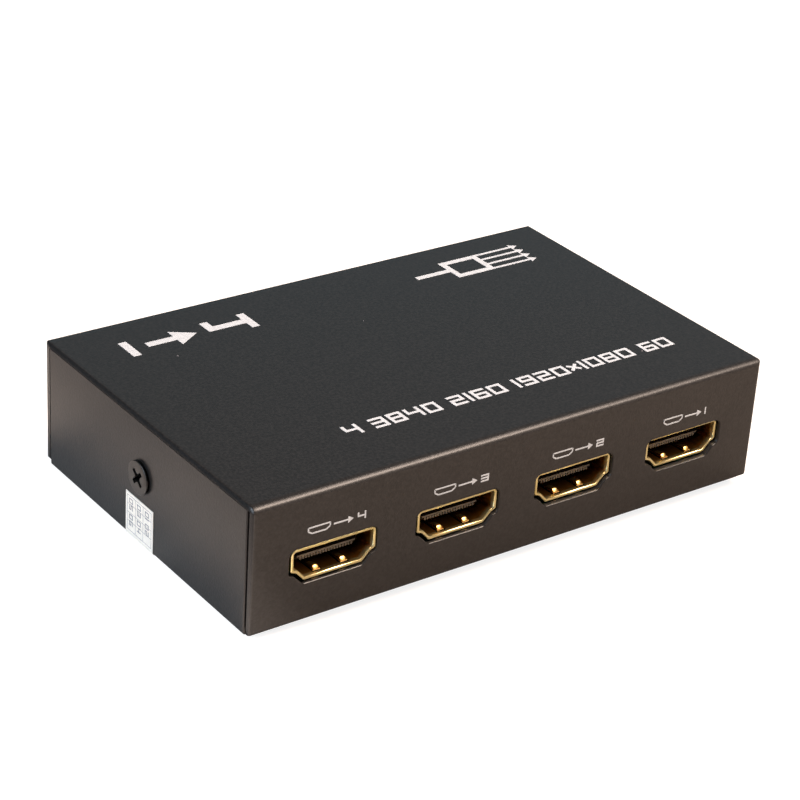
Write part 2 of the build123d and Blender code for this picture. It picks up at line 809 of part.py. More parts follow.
def capacitor_cans():
    """Electrolytic capacitors' aluminium cans with a rolled groove."""
    made = []
    for shares in can_place_shares:
        x, y = board_point(shares)
        low = board_top_z + can_base_height
        body = Pos(x, y, low) * Cylinder(can_diameter / 2, can_height, align=LOW)
        ring = Cylinder(can_diameter / 2, can_groove_depth, align=LOW)
        ring -= Cylinder(can_diameter / 2 - can_groove_depth, can_groove_depth, align=LOW)
        made.append(body - Pos(x, y, low + can_groove_height) * ring)
    return group(made)


def capacitor_bases():
    """Square moulded bases under the capacitor cans."""
    made = []
    for shares in can_place_shares:
        x, y = board_point(shares)
        body = Pos(x, y, board_top_z) * Box(can_base_size, can_base_size, can_base_height, align=LOW)
        made.append(chamfer(body.edges().filter_by(Axis.Z).group_by(Axis.X)[0], can_base_height))
    return group(made)


def crystal():
    """Clock crystal: a round-ended metal can on a flange."""
    x, y = board_point(crystal_place_shares)
    length, width = crystal_size
    low = Pos(x, y, board_top_z) * extrude(SlotOverall(length, width), amount=crystal_flange)
    top_slot = SlotOverall(length - 2 * crystal_flange, width - 2 * crystal_flange)
    can = Pos(x, y, board_top_z + crystal_flange) * extrude(top_slot, amount=crystal_height)
    can = fillet(can.edges().group_by(Axis.Z)[-1], crystal_flange)
    return low + can


def memory_chips():
    """Small eight-pin chips: bodies and pins."""
    made = []
    length, width, thick = memory_size
    for shares in memory_place_shares:
        x, y = board_point(shares)
        body = Pos(x, y, board_top_z) * Box(length, width, thick, align=LOW)
        for side in (-1, 1):
            for i in range(memory_pin_count):
                pin_x = x + (i - (memory_pin_count - 1) / 2) * memory_pin_pitch
                pin_y = y + side * (width + memory_pin[1]) / 2
                body += Pos(pin_x, pin_y, board_top_z) * Box(*memory_pin, align=LOW)
        made.append(body)
    return group(made)


def guard_chips():
    """Surge-guard arrays, two behind each receptacle."""
    made = []
    for place in port_locations():
        y = port_reach + guard_gap + guard_size[1] / 2
        for side in (-1, 1):
            spot = place * Pos(side * guard_spacing / 2, y, -shell_height / 2)
            made.append(spot * Box(*guard_size, align=LOW))
    return group(made)


def chip_capacitors():
    """Rows of coupling capacitors behind the surge guards."""
    made = []
    for place in port_locations():
        y = port_reach + guard_gap + guard_size[1]
        y += chip_part_gap + chip_part_size[1] / 2
        for i in range(chip_part_count):
            x = (i - (chip_part_count - 1) / 2) * chip_part_pitch
            made.append(place * Pos(x, y, -shell_height / 2) * Box(*chip_part_size, align=LOW))
    return group(made)


def chip_resistors():
    """Short rows of resistors between the larger parts."""
    made = []
    for shares in resistor_row_shares:
        x, y = board_point(shares)
        for i in range(resistor_count):
            along = (i - (resistor_count - 1) / 2) * resistor_pitch
            made.append(Pos(x, y, board_top_z) * Pos(along, 0, 0) * Box(*resistor_size, align=LOW))
    return group(made)


def fuse():
    """Resettable fuse beside the power socket's feed."""
    x, y = board_point(fuse_place_shares)
    return Pos(x, y, board_top_z) * Box(*fuse_size, align=LOW)


nodes = {
    "top_cover": top_cover(),
    "bottom_tray": bottom_tray(),
    "cover_bracket_left": cover_bracket(-1),
    "cover_bracket_right": cover_bracket(1),
    "side_screw_left": side_place(-1) * side_screw(),
    "side_screw_right": side_place(1) * side_screw(),
    "inspection_label": label(),
    "main_board": main_board(),
    "board_standoffs": standoffs(),
    "board_screws": board_screws(),
    "power_socket_body": jack_body(),
    "power_socket_pin": jack_pin(),
    "power_socket_contacts": jack_contacts(),
    "switch_frame": switch_frame(),
    "switch_base": switch_base_block(),
    "switch_slider": switch_slider(),
    "switch_pins": group(switch_pins()),
    "lamp_holder": lamp_holder(),
    "status_lamps": group(lamp_bodies()),
    "lamp_leads": group(lamp_leads()),
    "main_chip": main_chip(),
    "main_chip_leads": main_chip_leads(),
    "thermal_pad": thermal_pad(),
    "heat_sink": heat_sink(),
    "regulators": regulators(),
    "regulator_leads": regulator_leads(),
    "power_coils": coils(),
    "capacitor_cans": capacitor_cans(),
    "capacitor_bases": capacitor_bases(),
    "clock_crystal": crystal(),
    "memory_chips": memory_chips(),
    "guard_chips": guard_chips(),
    "chip_capacitors": chip_capacitors(),
    "chip_resistors": chip_resistors(),
    "fuse": fuse(),
}

foot_x = half_width - foot_inset
for name, x, y in (
    ("foot_front_left", -foot_x, front_y + foot_inset), ("foot_front_right", foot_x, front_y + foot_inset),
    ("foot_back_left", -foot_x, rear_y - foot_inset), ("foot_back_right", foot_x, rear_y - foot_inset),
):
    nodes[name] = foot(x, y)

bars = contact_bars()
shell = port_shell()
insulator = port_insulator(bars)
port_names = ["output_" + str(port_count - i) for i in range(port_count)] + ["input"]
for name, place in zip(port_names, port_locations()):
    nodes[name + "_shell"] = place * shell
    nodes[name + "_insulator"] = place * insulator
    nodes[name + "_contacts"] = group([place * bar for bar in bars])

os.makedirs("parts", exist_ok=True)
for name, solid in nodes.items():
    export_step(solid, os.path.join("parts", name + ".step"))
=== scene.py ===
import math

import bmesh
import bpy
from mathutils import Matrix, Vector


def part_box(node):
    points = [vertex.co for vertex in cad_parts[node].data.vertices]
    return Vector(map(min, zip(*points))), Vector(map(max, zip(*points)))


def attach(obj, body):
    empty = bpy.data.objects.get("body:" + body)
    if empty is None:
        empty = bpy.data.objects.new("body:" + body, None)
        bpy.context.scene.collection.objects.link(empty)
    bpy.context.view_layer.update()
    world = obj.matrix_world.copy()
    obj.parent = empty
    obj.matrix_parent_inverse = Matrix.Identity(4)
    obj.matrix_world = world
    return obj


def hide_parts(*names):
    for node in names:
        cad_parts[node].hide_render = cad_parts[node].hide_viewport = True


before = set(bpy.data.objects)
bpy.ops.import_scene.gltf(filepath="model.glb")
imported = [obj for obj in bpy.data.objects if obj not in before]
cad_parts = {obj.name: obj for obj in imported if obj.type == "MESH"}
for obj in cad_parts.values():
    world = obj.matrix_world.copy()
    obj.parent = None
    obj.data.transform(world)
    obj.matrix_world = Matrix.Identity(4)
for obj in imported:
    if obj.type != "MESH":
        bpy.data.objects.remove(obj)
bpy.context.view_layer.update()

MM = 0.001

# Folded cover and tray.
# Sheet steel, punched, folded and powder coated black after folding; the cover's flanges carry the sockets.
# The coat is a fine dry texture: near black, matt, with a soft sheen along the bends.


def linear(text):
    """A colour written as sRGB hex, in the renderer's linear values."""
    values = [int(text[i:i + 2], 16) / 255 for i in (1, 3, 5)]
    return [v / 12.92 if v <= 0.04045 else ((v + 0.055) / 1.055) ** 2.4 for v in values] + [1.0]


def add(tree, kind, settings=None, links=None):
    """Adds one node, with its settings and what is linked into it."""
    node = tree.nodes.new(kind)
    for key, value in (settings or {}).items():
        if isinstance(key, str) and key[0].islower():
            setattr(node, key, value)
        else:
            node.inputs[key].default_value = value
    for key, (source, output) in (links or {}).items():
        tree.links.new(source.outputs[output], node.inputs[key])
    return node


def finish(name, **sockets):
    """Starts a material: its shader with the given uniform values, and object coordinates for its patterns."""
    material = bpy.data.materials.new(name)
    material.use_nodes = True
    tree = material.node_tree
    tree.nodes.clear()
    shader = add(tree, "ShaderNodeBsdfPrincipled", {k.replace("_", " "): v for k, v in sockets.items()})
    add(tree, "ShaderNodeOutputMaterial", None, {"Surface": (shader, "BSDF")})
    coords = add(tree, "ShaderNodeTexCoord")
    return material, tree, shader, coords


def grain(tree, shader, coords, size_mm, height_mm, strength=1.0, detail=2.0):
    """A fine surface grain of a real size, as bump; returns the bump."""
    noise = add(tree, "ShaderNodeTexNoise", {"Scale": 1 / (size_mm * MM), "Detail": detail},
                {"Vector": (coords, "Object")})
    bump = add(tree, "ShaderNodeBump", {"Strength": strength, "Distance": height_mm * MM}, {"Height": (noise, "Fac")})
    tree.links.new(bump.outputs["Normal"], shader.inputs["Normal"])
    return bump


def mottle(tree, shader, coords, size_mm, dark, light, low=0.3, high=0.7, detail=3.0):
    """A colour change between two close tones, of a real size, linked to the base colour; returns its ramp."""
    noise = add(tree, "ShaderNodeTexNoise", {"Scale": 1 / (size_mm * MM), "Detail": detail},
                {"Vector": (coords, "Object")})
    ramp = add(tree, "ShaderNodeValToRGB", None, {"Fac": (noise, "Fac")})
    ramp.color_ramp.elements[0].position = low
    ramp.color_ramp.elements[0].color = linear(dark)
    ramp.color_ramp.elements[1].position = high
    ramp.color_ramp.elements[1].color = linear(light)
    tree.links.new(ramp.outputs["Color"], shader.inputs["Base Color"])
    return ramp


def smooth_copy(name, node, angle=32):
    """A welded copy of a solid whose rounds shade smoothly and whose corners stay sharp; it stands for that solid."""
    weld = 0.0002 * MM
    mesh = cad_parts[node].data.copy()
    mesh.materials.clear()
    work = bmesh.new()
    work.from_mesh(mesh)
    bmesh.ops.remove_doubles(work, verts=work.verts, dist=weld)
    for face in work.faces:
        face.smooth = True
    for edge in work.edges:
        edge.smooth = len(edge.link_faces) == 2 and edge.calc_face_angle(0.0) < math.radians(angle)
    work.to_mesh(mesh)
    work.free()
    if mesh.has_custom_normals:
        mesh.attributes.remove(mesh.attributes["custom_normal"])
    mesh.name = name
    piece = bpy.data.objects.new(name, mesh)
    bpy.context.scene.collection.objects.link(piece)
    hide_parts(node)
    return piece


def dress(material, *names):
    """Gives CAD nodes their finish."""
    for name in names:
        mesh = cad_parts[name].data
        mesh.materials.clear()
        mesh.materials.append(material)


cover_low, cover_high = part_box("top_cover")
front_y, rear_y, top_z = cover_low.y, cover_high.y, cover_high.z

# Powder coat: polyester baked over steel, sprayed dry, so light spreads widely and small bumps catch it.
# A pale fleck of dust lies in it about every nine millimetres.
coat_roughness, dust_spacing, fleck_part = 0.3, 9 * MM, 0.016
coat, tree, shader, coords = finish("black_powder_coat", Roughness=coat_roughness, IOR=1.5)
speckle = mottle(tree, shader, coords, 0.45, "#1b1a1a", "#252424", 0.35, 0.68, 2.0)
dust = add(tree, "ShaderNodeTexVoronoi", {"Scale": 1 / dust_spacing}, {"Vector": (coords, "Object")})
fleck = add(tree, "ShaderNodeMath", {"operation": "LESS_THAN", 1: fleck_part}, {0: (dust, "Distance")})
mix = add(tree, "ShaderNodeMix", {"data_type": "RGBA", 7: linear("#77757a")},
          {0: (fleck, "Value"), 6: (speckle, "Color")})
tree.links.new(mix.outputs[2], shader.inputs["Base Color"])
axes = add(tree, "ShaderNodeSeparateXYZ", None, {"Vector": (coords, "Object")})
across_x = add(tree, "ShaderNodeMath", {"operation": "ABSOLUTE"}, {0: (axes, "X")})
# Folding leaves the sheet slightly crowned beside each bend, so light slides off there. Each row of the table is
# a coordinate, where the flat sheet starts to fall, which way, over how many millimetres, and the last slope.
bend = 0.5 * MM
height = None
for axis, start, sign, reach_mm, slope in (
        ((axes, "Y"), front_y + bend, -1, 0.9, 0.27), ((axes, "Y"), rear_y - bend, 1, 0.9, 0.27),
        ((axes, "Z"), top_z - bend, 1, 0.7, 0.6), ((across_x, "Value"), cover_high.x, 1, 0.6, 0.2)):
    reach = reach_mm * MM
    inset = add(tree, "ShaderNodeMath", {"operation": "MULTIPLY_ADD", 1: sign, 2: reach - sign * start}, {0: axis})
    inside = add(tree, "ShaderNodeMath", {"operation": "MAXIMUM", 1: 0.0}, {0: (inset, "Value")})
    curved = add(tree, "ShaderNodeMath", {"operation": "MINIMUM", 1: reach}, {0: (inside, "Value")})
    beyond = add(tree, "ShaderNodeMath", {"operation": "SUBTRACT"}, {0: (inside, "Value"), 1: (curved, "Value")})
    square = add(tree, "ShaderNodeMath", {"operation": "MULTIPLY"}, {0: (curved, "Value"), 1: (curved, "Value")})
    fall = add(tree, "ShaderNodeMath", {"operation": "MULTIPLY_ADD", 1: 0.5 / reach},
               {0: (square, "Value"), 2: (beyond, "Value")})
    drop = add(tree, "ShaderNodeMath", {"operation": "MULTIPLY", 1: -slope}, {0: (fall, "Value")})
    if height:
        drop = add(tree, "ShaderNodeMath", {"operation": "ADD"}, {0: (height, "Value"), 1: (drop, "Value")})
    height = drop
# The coat pulls thin and rough over the bend, so the light along it is broad.
middle_y, half_depth = (front_y + rear_y) / 2, (rear_y - front_y) / 2
added_roughness = 0.13
from_middle = add(tree, "ShaderNodeMath", {"operation": "SUBTRACT", 1: middle_y}, {0: (axes, "Y")})
along = add(tree, "ShaderNodeMath", {"operation": "ABSOLUTE"}, {0: (from_middle, "Value")})
near_edge = add(tree, "ShaderNodeMapRange", {"From Min": half_depth - 0.6 * MM, "From Max": half_depth - 0.3 * MM},
                {"Value": (along, "Value")})
near_top = add(tree, "ShaderNodeMapRange", {"From Min": top_z - 1.2 * MM, "From Max": top_z - 0.8 * MM},
               {"Value": (axes, "Z")})
on_bend = add(tree, "ShaderNodeMath", {"operation": "MULTIPLY"}, {0: (near_edge, "Result"), 1: (near_top, "Result")})
rough = add(tree, "ShaderNodeMath", {"operation": "MULTIPLY_ADD", 1: added_roughness, 2: coat_roughness},
            {0: (on_bend, "Value")})
tree.links.new(rough.outputs["Value"], shader.inputs["Roughness"])
# Shearing turns the lower edge of the front flange slightly outward, which catches a faint light.
lip, lip_slope, flange_sheet = 0.35 * MM, 0.32, 0.3 * MM
inset = add(tree, "ShaderNodeMath", {"operation": "SUBTRACT", 0: cover_low.z + lip}, {1: (axes, "Z")})
inside = add(tree, "ShaderNodeMath", {"operation": "MAXIMUM", 1: 0.0}, {0: (inset, "Value")})
on_flange = add(tree, "ShaderNodeMath", {"operation": "LESS_THAN", 1: front_y + flange_sheet}, {0: (axes, "Y")})
flare = add(tree, "ShaderNodeMath", {"operation": "MULTIPLY"}, {0: (inside, "Value"), 1: (on_flange, "Value")})
height = add(tree, "ShaderNodeMath", {"operation": "MULTIPLY_ADD", 1: lip_slope},
             {0: (flare, "Value"), 2: (height, "Value")})
bump = grain(tree, shader, coords, 0.32, 0.03, 0.7)
crowned = add(tree, "ShaderNodeBump", {"Strength": 1.0, "Distance": 1.0}, {"Height": (height, "Value")})
tree.links.new(crowned.outputs["Normal"], bump.inputs["Normal"])

for name, node in (("cover", "top_cover"), ("tray", "bottom_tray")):
    piece = smooth_copy(name, node)
    piece.data.materials.append(coat)
    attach(piece, "housing")
dress(coat, "cover_bracket_left", "cover_bracket_right")

# Side screws.
# Countersunk cross-head machine screws, black oxide over steel, turned into the cover's welded brackets.
# Oiled black oxide is darker, smoother and glossier than the coat.
black_oxide, tree, shader, coords = finish("black_oxide_screw", Metallic=0.0, Roughness=0.28, IOR=1.6)
mottle(tree, shader, coords, 0.5, "#141413", "#262523")
grain(tree, shader, coords, 0.12, 0.01, 0.5)
for side in ("left", "right"):
    piece = smooth_copy("screw_" + side, "side_screw_" + side)
    piece.data.materials.append(black_oxide)
    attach(piece, "housing")

# Socket shells.
# Stamped and rolled brass, plated bright gold, with the floor springs cut from the same sheet.
# Plating over rolled sheet: a warm mirror, softened by the rolling and by fine handling marks.
gold, tree, shader, coords = finish("gold_plated_shell", Metallic=1.0, Roughness=0.3)
plating = mottle(tree, shader, coords, 3.0, "#e9d896", "#f5e9b4")
grain(tree, shader, coords, 0.5, 0.004, 0.25)
# Deeper than the rolled rim the gold is painted darker, to a brown gold within a millimetre: painted shade inside the
# socket.
axes = add(tree, "ShaderNodeSeparateXYZ", None, {"Vector": (coords, "Object")})
from_middle = add(tree, "ShaderNodeMath", {"operation": "SUBTRACT", 1: middle_y}, {0: (axes, "Y")})
along = add(tree, "ShaderNodeMath", {"operation": "ABSOLUTE"}, {0: (from_middle, "Value")})
depth = add(tree, "ShaderNodeMath", {"operation": "MULTIPLY_ADD", 1: -1.0, 2: half_depth}, {0: (along, "Value")})
# The board sits a little askew behind the front: the rims lie 0.43 mm deep at the middle and 0.15 mm deeper with
# each pitch of 22.57 mm to the right.
rim_at_middle, rim_skew = 0.43 * MM, 0.00665
# Painted shade in the socket: from the first depth behind the rim the gold is painted browner, fully brown at the
# second.
unshaded_depth, full_shade_depth = 0.45 * MM, 1.0 * MM
rim_depth = add(tree, "ShaderNodeMath", {"operation": "MULTIPLY_ADD", 1: rim_skew, 2: rim_at_middle},
                {0: (axes, "X")})
inner = add(tree, "ShaderNodeMath", {"operation": "SUBTRACT"}, {0: (depth, "Value"), 1: (rim_depth, "Value")})
painted_recess_shade = add(tree, "ShaderNodeMapRange", {"From Min": unshaded_depth, "From Max": full_shade_depth}, {"Value": (inner, "Value")})
mix = add(tree, "ShaderNodeMix", {"data_type": "RGBA", 7: linear("#a8752f")},
          {0: (painted_recess_shade, "Result"), 6: (plating, "Color")})
tree.links.new(mix.outputs[2], shader.inputs["Base Color"])
# The rim's edges are rounded by the press tool.
rim_round, same_place, shell_height = 0.2 * MM, 0.01 * MM, 5.55 * MM
sharp_from, shaded_up_to = 1.0, math.radians(34)
sockets = ("output_4", "output_3", "output_2", "output_1", "input")
for socket in sockets:
    piece = smooth_copy(socket + "_plated_shell", socket + "_shell", 25)
    low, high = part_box(socket + "_shell")
    rim_y = low.y if socket != "input" else high.y
    work = bmesh.new()
    work.from_mesh(piece.data)
    rim = [e for e in work.edges if all(abs(v.co.y - rim_y) < same_place for v in e.verts)
           and e.calc_face_angle(0.0) > sharp_from]
    bmesh.ops.bevel(work, geom=rim, offset=rim_round, offset_type="OFFSET", segments=3, profile=0.5,
                    affect="EDGES", clamp_overlap=True)
    for face in work.faces:
        face.smooth = True
    for edge in work.edges:
        if edge.calc_face_angle(0.0) < shaded_up_to:
            edge.smooth = True
    work.to_mesh(piece.data)
    work.free()
    piece.data.materials.append(gold)
    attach(piece, "housing")

# Socket insulators and contacts.
# Glass-filled nylon, moulded black; the contacts are stamped, gold plated and pressed into the tongue.
# Moulded nylon is satin with a slight orange peel; the contacts are small warm mirrors.
nylon, tree, shader, coords = finish("black_moulded_nylon", Roughness=0.6, IOR=1.45, Specular_IOR_Level=0.1)
mottle(tree, shader, coords, 1.5, "#0d0c0b", "#161412")
grain(tree, shader, coords, 0.3, 0.01, 0.4)
dress(nylon, *[socket + "_insulator" for socket in sockets])
contact_gold, tree, shader, coords = finish("gold_plated_contact", Metallic=1.0, Roughness=0.3)
mottle(tree, shader, coords, 0.8, "#c9a35a", "#e2c383")
dress(contact_gold, *[socket + "_contacts" for socket in sockets])

# Spring noses.
# The floor springs of each shell end in a narrow nose, bent up to press on the plug, one with the spring.
# The nose is the plain gold of the contacts; the shell floor round it is painted darker, as shade, so the nose stands
# out bright.
spring_apart, nose_width, nose_metal, nose_camber = 4.8 * MM, 0.82 * MM, 0.15 * MM, 0.3 * MM
floor_above_low, nose_shaded_up_to = 0.5 * MM, math.radians(40)
# The nose's side view, as millimetres behind the rim and above the shell's floor, and its stations across.
nose_line = ((0.85, 0.0), (1.0, 0.2), (1.15, 0.4), (1.3, 0.57), (1.45, 0.64), (1.7, 0.64), (2.2, 0.52), (3.0, 0.28))
nose_rows = (-0.5, -0.36, -0.18, 0.0, 0.18, 0.36, 0.5)
for socket in sockets:
    low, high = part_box(socket + "_shell")
    rim_y, inward = (low.y, 1) if socket != "input" else (high.y, -1)
    floor_z = high.z - shell_height + floor_above_low
    work = bmesh.new()
    for side in (-0.5, 0.5):
        centre_x = (low.x + high.x) / 2 + side * spring_apart
        grids = []
        for level in (0.0, -nose_metal):
            grids.append([[work.verts.new((centre_x + across * nose_width, rim_y + inward * y * MM,
                                           floor_z + z * MM + level - nose_camber * across ** 2))
                           for across in nose_rows] for y, z in nose_line])
        top, under = grids
        for i in range(len(nose_line) - 1):
            for j in range(len(nose_rows) - 1):
                work.faces.new((top[i][j], top[i][j + 1], top[i + 1][j + 1], top[i + 1][j]))
                work.faces.new((under[i][j], under[i + 1][j], under[i + 1][j + 1], under[i][j + 1]))
            for j in (0, -1):
                work.faces.new((top[i][j], top[i + 1][j], under[i + 1][j], under[i][j]))
        for i in (0, -1):
            for j in range(len(nose_rows) - 1):
                work.faces.new((top[i][j], under[i][j], under[i][j + 1], top[i][j + 1]))
    bmesh.ops.recalc_face_normals(work, faces=work.faces)
    for face in work.faces:
        face.smooth = True
    for edge in work.edges:
        edge.smooth = edge.calc_face_angle(0.0) < nose_shaded_up_to
    mesh = bpy.data.meshes.new(socket + "_spring_noses")
    work.to_mesh(mesh)
    work.free()
    mesh.materials.append(contact_gold)
    piece = bpy.data.objects.new(socket + "_spring_noses", mesh)
    bpy.context.scene.collection.objects.link(piece)
    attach(piece, "housing")

# Contact noses.
# The front edge of each tongue, where the ends of the two contact rows lie half a millimetre apart.
# Painted pale grey-brown, a painted highlight: the lamp's light off the black tongue's front edge, painted into the
# colour of the tongue's front and the contact ends.
resin, tree, shader, coords = finish("pale_tongue_resin", Roughness=0.5, IOR=1.5)
mottle(tree, shader, coords, 0.6, "#655f59", "#7a746e")
nose_tree = bpy.data.node_groups.new("contact_noses", "GeometryNodeTree")
nose_sizes = (("Ends", "NodeSocketInt"), ("Pitch", "NodeSocketFloat"), ("End size", "NodeSocketVector"),
              ("Nose size", "NodeSocketVector"), ("Nose lift", "NodeSocketFloat"), ("Resin", "NodeSocketMaterial"))
for label, kind in nose_sizes:
    nose_tree.interface.new_socket(label, in_out="INPUT", socket_type=kind)
nose_tree.interface.new_socket("Geometry", in_out="OUTPUT", socket_type="NodeSocketGeometry")
given = add(nose_tree, "NodeGroupInput")
last = add(nose_tree, "ShaderNodeMath", {"operation": "SUBTRACT", 1: 1.0}, {0: (given, "Ends")})
reach = add(nose_tree, "ShaderNodeMath", {"operation": "MULTIPLY"}, {0: (last, "Value"), 1: (given, "Pitch")})
half = add(nose_tree, "ShaderNodeMath", {"operation": "MULTIPLY", 1: -0.5}, {0: (reach, "Value")})
start = add(nose_tree, "ShaderNodeCombineXYZ", None, {"X": (half, "Value")})
step = add(nose_tree, "ShaderNodeCombineXYZ", None, {"X": (given, "Pitch")})
row = add(nose_tree, "GeometryNodeMeshLine", None,
          {"Count": (given, "Ends"), "Start Location": (start, "Vector"), "Offset": (step, "Vector")})
end = add(nose_tree, "GeometryNodeMeshCube", None, {"Size": (given, "End size")})
ends = add(nose_tree, "GeometryNodeInstanceOnPoints", None, {"Points": (row, "Mesh"), "Instance": (end, "Mesh")})
bar = add(nose_tree, "GeometryNodeMeshCube", None, {"Size": (given, "Nose size")})
lift = add(nose_tree, "ShaderNodeCombineXYZ", None, {"Z": (given, "Nose lift")})
raised = add(nose_tree, "GeometryNodeTransform", None, {"Geometry": (bar, "Mesh"), "Translation": (lift, "Vector")})
joined = add(nose_tree, "GeometryNodeJoinGeometry")
nose_tree.links.new(ends.outputs["Instances"], joined.inputs["Geometry"])
nose_tree.links.new(raised.outputs["Geometry"], joined.inputs["Geometry"])
real = add(nose_tree, "GeometryNodeRealizeInstances", None, {"Geometry": (joined, "Geometry")})
coated = add(nose_tree, "GeometryNodeSetMaterial", None,
             {"Geometry": (real, "Geometry"), "Material": (given, "Resin")})
add(nose_tree, "NodeGroupOutput", None, {"Geometry": (coated, "Geometry")})
nose_values = {"Ends": 19, "Pitch": 0.5 * MM, "End size": Vector((0.25, 0.14, 0.55)) * MM,
               "Nose size": Vector((10.2, 0.1, 0.26)) * MM, "Nose lift": 0.33 * MM, "Resin": resin}
nose_below_middle, nose_proud = 0.27 * MM, 0.05 * MM


def plain_mesh(name, source, place):
    """The evaluated mesh of a source object, moved to its place, as a new object at the origin."""
    bpy.context.view_layer.update()
    graph = bpy.context.evaluated_depsgraph_get()
    mesh = bpy.data.meshes.new_from_object(source.evaluated_get(graph))
    mesh.transform(place)
    mesh.name = name
    piece = bpy.data.objects.new(name, mesh)
    bpy.context.scene.collection.objects.link(piece)
    bpy.data.objects.remove(source)
    return piece


for socket in sockets:
    source = bpy.data.objects.new("nose_source", bpy.data.meshes.new("nose_source"))
    bpy.context.scene.collection.objects.link(source)
    modifier = source.modifiers.new("noses", "NODES")
    modifier.node_group = nose_tree
    for item in nose_tree.interface.items_tree:
        if item.in_out == "INPUT":
            modifier[item.identifier] = nose_values[item.name]
    low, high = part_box(socket + "_insulator")
    nose_y = low.y - nose_proud if socket != "input" else high.y + nose_proud
    middle_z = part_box(socket + "_shell")[1].z - shell_height / 2
    piece = plain_mesh(socket + "_contact_nose", source,
                       Matrix.Translation(((low.x + high.x) / 2, nose_y, middle_z - nose_below_middle)))
    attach(piece, "housing")

# Printing on the cover.
# One-colour pad printing in white epoxy ink, laid on after coating.
# The ink is an opaque satin film that follows the coat's texture.
ink, tree, shader, coords = finish("white_printing_ink", Roughness=0.55, IOR=1.5)
mottle(tree, shader, coords, 0.6, "#aab0b7", "#bcc2c8")
grain(tree, shader, coords, 0.3, 0.01, 0.4)
ink_film = 0.02 * MM


def face_place(x, y, z, right, up):
    """A matrix from flat drawing axes, in millimetres, to a face of the object."""
    right, up = Vector(right), Vector(up)
    out = right.cross(up)
    place = Matrix((right * MM, up * MM, out * MM)).transposed().to_4x4()
    place.translation = Vector((x, y, z))
    return place


def printed(name, marks, place, material=None):
    """Flat closed outlines, in millimetres, printed on a face as a thin film."""
    work = bmesh.new()
    for outline in marks:
        face = work.faces.new([work.verts.new((x, y, 0)) for x, y in outline])
        face.normal_update()
        if face.normal.z < 0:
            face.normal_flip()
    raised = bmesh.ops.extrude_face_region(work, geom=list(work.faces))
    moved = [v for v in raised["geom"] if isinstance(v, bmesh.types.BMVert)]
    bmesh.ops.translate(work, verts=moved, vec=(0, 0, ink_film / MM))
    bmesh.ops.recalc_face_normals(work, faces=work.faces)
    mesh = bpy.data.meshes.new(name)
    work.to_mesh(mesh)
    work.free()
    mesh.transform(place)
    mesh.materials.append(material or ink)
    piece = bpy.data.objects.new(name, mesh)
    bpy.context.scene.collection.objects.link(piece)
    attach(piece, "housing")
    return piece


def stroke(x0, y0, x1, y1, width):
    """One straight stroke with square ends."""
    along = Vector((x1 - x0, y1 - y0)).normalized()
    side = Vector((-along.y, along.x)) * width / 2
    a, b = Vector((x0, y0)), Vector((x1, y1))
    return [tuple(a - side), tuple(b - side), tuple(b + side), tuple(a + side)]


def frame_strokes(x0, y0, x1, y1, width):
    """Four strokes round a rectangle, butted at the corners."""
    h = width / 2
    return [stroke(x0 - h, y0, x1 + h, y0, width), stroke(x0 - h, y1, x1 + h, y1, width),
            stroke(x0, y0 + h, x0, y1 - h, width), stroke(x1, y0 + h, x1, y1 - h, width)]


def arrow(x0, x1, y, width, head):
    """A shaft that ends in a solid triangular head, pointing to +x."""
    return [stroke(x0, y, x1 - head, y, width), [(x1 - head, y - head * 0.62), (x1, y), (x1 - head, y + head * 0.62)]]


def digits(text, x, y, height, width, weight, gap):
    """Plain square numerals as strokes, from x on, all in mm; the other marks are a small cross and a space."""
    bars = {"0": "abcdef", "1": "bc", "2": "abged", "3": "abgcd", "4": "fgbc", "5": "afgcd", "6": "afgedc",
            "7": "abc", "8": "abcdefg", "9": "abcdfg"}
    marks = []
    middle = y + height / 2
    half = weight / 2
    for sign in text:
        if sign == " ":
            x += width * 0.6
            continue
        if sign == "x":
            r = height * 0.3
            cut = half / math.sqrt(2)
            marks.append(stroke(x, middle - r, x + 2 * r, middle + r, weight))
            marks.append(stroke(x, middle + r, x + r - cut, middle + cut, weight))
            marks.append(stroke(x + r + cut, middle - cut, x + 2 * r, middle - r, weight))
            x += 2 * r + gap
            continue
        on = bars[sign]
        left = x + half if sign != "1" else x - width + 1.5 * weight
        right = x + width - half if sign != "1" else x + half
        for bar, level in (("a", y + height - half), ("g", middle), ("d", y + half)):
            if bar in on:
                marks.append(stroke(left - half, level, right + half, level, weight))
        top = y + height - (weight if "a" in on else 0)
        low = y + (weight if "d" in on else 0)
        inner = half if "g" in on else 0
        for bar, side, y0, y1 in (("f", left, middle + inner, top), ("b", right, middle + inner, top),
                                  ("e", left, low, middle - inner), ("c", right, low, middle - inner)):
            if bar in on:
                marks.append(stroke(side, y0, side, y1, weight))
        x += (width if sign != "1" else weight) + gap
    return marks


RIGHT, LEFT, UP, BACK = (1, 0, 0), (-1, 0, 0), (0, 0, 1), (0, 1, 0)

# A large plain ratio at the back left of the top, a diagram of one line that becomes four at the back right,
# and a row of plain numbers along the front. Places are millimetres from the middle and from the front edge.
front_edge = face_place(0, front_y, top_z, RIGHT, BACK)
marks = digits("1", -39.4, 49.4, 5.2, 6.4, 1.45, 1.5) + arrow(-35.6, -26.4, 52.0, 1.45, 4.0)
marks += digits("4", -24.4, 49.4, 5.2, 8.4, 1.45, 1.5)
printed("print_ratio", marks, front_edge)
marks = [stroke(17.2, 52.0, 24.0, 52.0, 1.1)]
marks += frame_strokes(24.55, 49.5, 31.3, 54.7, 1.1)
for i in range(4):
    marks += arrow(31.85, 41.0, 49.25 + i * 1.9, 0.55, 1.5)
printed("print_diagram", marks, front_edge)
marks = digits("4 3840 2160 1920x1080 60", -24.4, 11.15, 2.95, 2.65, 0.56, 0.63)
printed("print_row", marks, front_edge)


